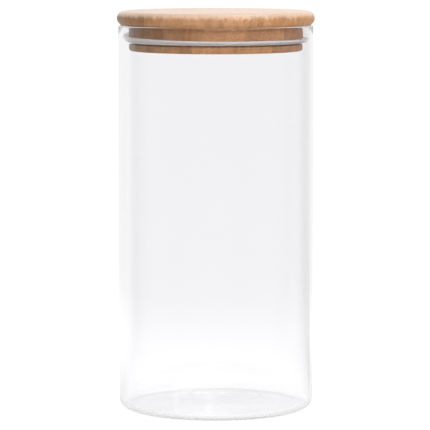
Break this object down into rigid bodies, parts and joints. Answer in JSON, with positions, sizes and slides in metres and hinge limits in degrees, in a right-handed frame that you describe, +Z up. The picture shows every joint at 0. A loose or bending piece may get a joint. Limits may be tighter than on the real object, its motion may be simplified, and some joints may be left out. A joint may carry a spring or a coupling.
{
  "type": "lidded glass canister",
  "caption": "Tall straight-sided glass canister with a push-in laminated bamboo lid, sealed in the mouth by a flexible lip ring.",
  "frame": {"origin": "centre of the foot, on the surface that the jar stands on", "axes": "+Z up along the axis of the jar, +Y along the slats of the lid"},
  "size_m": [0.1014, 0.1014, 0.2051],
  "materials": {
    "glass": "clear polished borosilicate",
    "cap_bamboo": "sanded, thin clear satin oil",
    "plug_bamboo": "turned and sanded, thin clear satin oil",
    "silicone": "translucent white, matt"
  },
  "bodies": {
    "jar": {"glass_jar": "glass"},
    "seal": {"seal_ring": "silicone"},
    "lid": {"cap_slat_1": "cap_bamboo", "cap_slat_2": "cap_bamboo", "cap_slat_3": "cap_bamboo", "cap_slat_4": "cap_bamboo", "cap_slat_5": "cap_bamboo", "cap_slat_6": "cap_bamboo", "lower_plug_slat_1": "plug_bamboo", "lower_plug_slat_2": "plug_bamboo", "lower_plug_slat_3": "plug_bamboo", "lower_plug_slat_4": "plug_bamboo", "lower_plug_slat_5": "plug_bamboo", "upper_plug_slat_1": "plug_bamboo", "upper_plug_slat_2": "plug_bamboo", "upper_plug_slat_3": "plug_bamboo", "upper_plug_slat_4": "plug_bamboo", "upper_plug_slat_5": "plug_bamboo"}
  },
  "joints": [
    {"name": "lid_lift", "type": "slide", "parent": "jar", "child": "seal", "axis": [0, 0, 1], "range_m": [0, 0.06]},
    {"name": "lid_turn", "type": "hinge", "parent": "seal", "child": "lid", "pos_m": [0, 0, 0.19], "axis": [0, 0, 1], "continuous": true}
  ]
}
